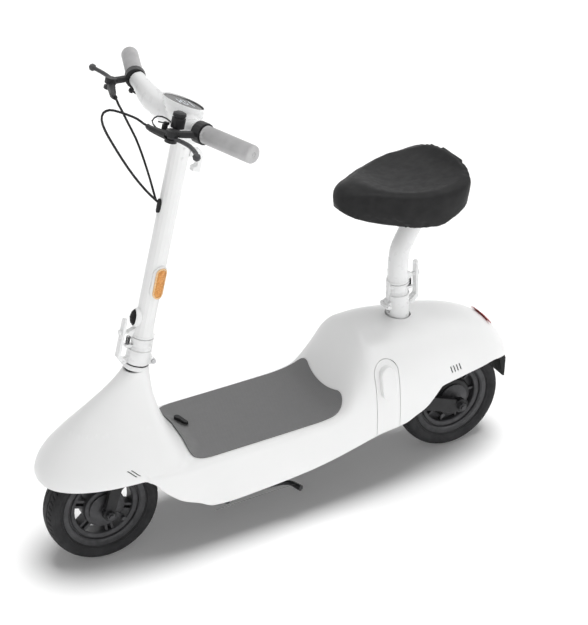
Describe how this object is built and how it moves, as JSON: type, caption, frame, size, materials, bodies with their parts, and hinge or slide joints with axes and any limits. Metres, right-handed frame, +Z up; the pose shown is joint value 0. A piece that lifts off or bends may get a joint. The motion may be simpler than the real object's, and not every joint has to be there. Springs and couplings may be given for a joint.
{
  "type": "seated electric scooter",
  "caption": "Seated electric scooter with small wheels, a low footboard, a folding stem with a gull-wing bar and round display, and a saddle on a folding post.",
  "frame": {"origin": "middle of the overall box, on the ground", "axes": "+X forward, +Y to the rider's left, +Z up"},
  "size_m": [1.139, 0.591, 1.0348],
  "materials": {
    "white": "gloss",
    "white_metal": "gloss",
    "amber": "gloss",
    "tail_red": "gloss",
    "dark_metal": "satin",
    "charcoal": "satin",
    "black_plastic": "matte",
    "mat": "matte",
    "rubber": "matte",
    "tyre": "matte",
    "grip": "matte",
    "steel": "satin",
    "saddle": "satin",
    "display": "gloss"
  },
  "bodies": {
    "root": {"body_shell": "white", "side_panel_left": "white", "side_panel_right": "white", "side_pad_left": "white", "side_pad_right": "white", "deck_mat": "mat", "port_cover": "rubber", "belly_pan": "black_plastic", "main_frame": "dark_metal", "head_bearing_lower": "steel", "head_bearing_upper": "steel", "battery_pack": "black_plastic", "motor_controller": "charcoal", "front_wheel_liner": "black_plastic", "rear_wheel_liner": "black_plastic", "tail_lamp": "tail_red", "mud_flap": "rubber", "kickstand_bracket": "dark_metal", "rear_axle": "steel", "rear_brake": "charcoal", "seat_fold_base": "white_metal", "seat_latch_spring": "steel"},
    "stand": {"kickstand": "dark_metal"},
    "steer": {"fork": "dark_metal", "front_axle": "steel", "front_brake": "charcoal", "stem_fold_base": "white_metal", "stem_hinge_bolt": "steel", "stem_latch_spring": "steel"},
    "front_wheel": {"front_tyre": "tyre", "front_rim": "charcoal"},
    "rear_wheel": {"rear_tyre": "tyre", "rear_rim": "charcoal", "hub_motor": "dark_metal"},
    "bar": {"stem": "white_metal", "headlight": "display", "reflector_bezels": "white", "reflector_left": "amber", "reflector_right": "amber", "cable_grommet": "rubber", "bag_hook": "white", "handlebar": "white_metal", "display_lens": "display", "grip_left": "grip", "grip_right": "grip", "brake_perch_left": "dark_metal", "brake_perch_right": "dark_metal", "bell": "black_plastic", "brake_cable_left": "rubber", "brake_cable_right": "rubber", "display_wire": "rubber"},
    "lever_left": {"brake_lever_left": "charcoal"},
    "lever_right": {"brake_lever_right": "charcoal"},
    "throttle": {"throttle_paddle": "black_plastic"},
    "striker": {"bell_striker": "black_plastic"},
    "stem_latch": {"stem_latch_lever": "white_metal"},
    "seat": {"seat_post": "white_metal", "saddle": "saddle", "saddle_base": "black_plastic"},
    "seat_latch": {"seat_latch_lever": "white_metal"}
  },
  "joints": [
    {"name": "steering", "type": "hinge", "parent": "root", "child": "steer", "pos_m": [0.42117, 0, 0.12231], "axis": [-0.2756, 0, 0.9613], "range_deg": [-30, 30]},
    {"name": "front_wheel_spin", "type": "hinge", "parent": "steer", "child": "front_wheel", "pos_m": [0.43751, 0, 0.127], "axis": [0, 1, 0], "continuous": true},
    {"name": "rear_wheel_spin", "type": "hinge", "parent": "root", "child": "rear_wheel", "pos_m": [-0.42849, 0, 0.127], "axis": [0, 1, 0], "continuous": true},
    {"name": "stem_fold", "type": "hinge", "parent": "steer", "child": "bar", "pos_m": [0.29675, 0, 0.44554], "axis": [0, -1, 0], "range_deg": [0, 36]},
    {"name": "stem_latch", "type": "hinge", "parent": "steer", "child": "stem_latch", "pos_m": [0.3589, 0, 0.4592], "axis": [0, 1, 0], "range_deg": [0, 100]},
    {"name": "brake_left", "type": "hinge", "parent": "bar", "child": "lever_left", "pos_m": [0.27651, 0.15, 1.00046], "axis": [-0.2756, 0, 0.9613], "range_deg": [0, 20], "stiffness_Nm_per_rad": 1.5, "springref_deg": -5.73},
    {"name": "brake_right", "type": "hinge", "parent": "bar", "child": "lever_right", "pos_m": [0.27651, -0.15, 1.00046], "axis": [0.2756, 0, -0.9613], "range_deg": [0, 20], "stiffness_Nm_per_rad": 1.5, "springref_deg": -5.73},
    {"name": "throttle_push", "type": "hinge", "parent": "bar", "child": "throttle", "pos_m": [0.22898, -0.15952, 0.97392], "axis": [-0.3054, -0.9519, -0.0262], "range_deg": [0, 28], "stiffness_Nm_per_rad": 0.2, "springref_deg": -8.59},
    {"name": "bell_flick", "type": "hinge", "parent": "bar", "child": "striker", "pos_m": [0.27073, 0.112, 1.01336], "axis": [0.2756, 0, -0.9613], "range_deg": [0, 20], "stiffness_Nm_per_rad": 0.05, "springref_deg": -5.73},
    {"name": "seat_fold", "type": "hinge", "parent": "root", "child": "seat", "pos_m": [-0.26799, 0, 0.409], "axis": [0, 1, 0], "range_deg": [0, 80]},
    {"name": "seat_latch", "type": "hinge", "parent": "root", "child": "seat_latch", "pos_m": [-0.33149, 0, 0.405], "axis": [0, -1, 0], "range_deg": [0, 100]},
    {"name": "kickstand", "type": "hinge", "parent": "root", "child": "stand", "pos_m": [0.17451, 0.076, 0.09], "axis": [0, -0.6046, -0.7965], "range_deg": [0, 95]}
  ]
}
